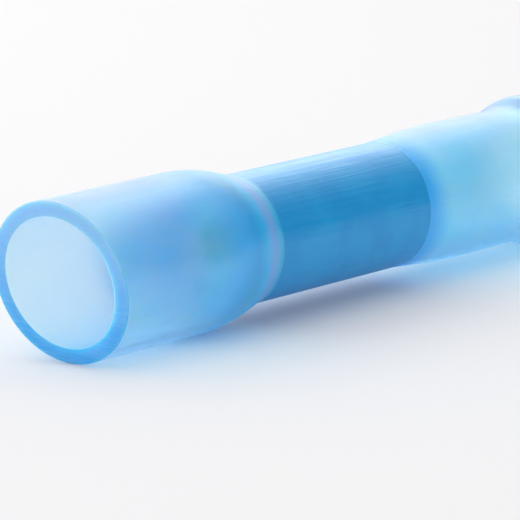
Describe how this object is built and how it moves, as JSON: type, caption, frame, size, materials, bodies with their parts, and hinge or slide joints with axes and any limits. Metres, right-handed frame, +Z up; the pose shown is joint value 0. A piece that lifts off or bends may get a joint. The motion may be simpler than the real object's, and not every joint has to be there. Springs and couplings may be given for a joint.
{
  "type": "butt splice connector",
  "caption": "Heat-shrink butt splice connector: a translucent blue sleeve with bell ends, shrunk on to a tinned crimp barrel with a wire stop.",
  "frame": {"origin": "middle of the length, on the surface that the connector lies on, under the middle of the grip", "axes": "+X along the axis from the near mouth, which is cut askew, to the far mouth; +Z up"},
  "size_m": [0.039, 0.0082, 0.0082],
  "materials": {
    "blue_polyolefin": "translucent satin",
    "tinned_copper": "satin tin plating"
  },
  "bodies": {
    "root": {"heat_shrink_sleeve": "blue_polyolefin", "crimp_barrel": "tinned_copper"}
  },
  "joints": []
}
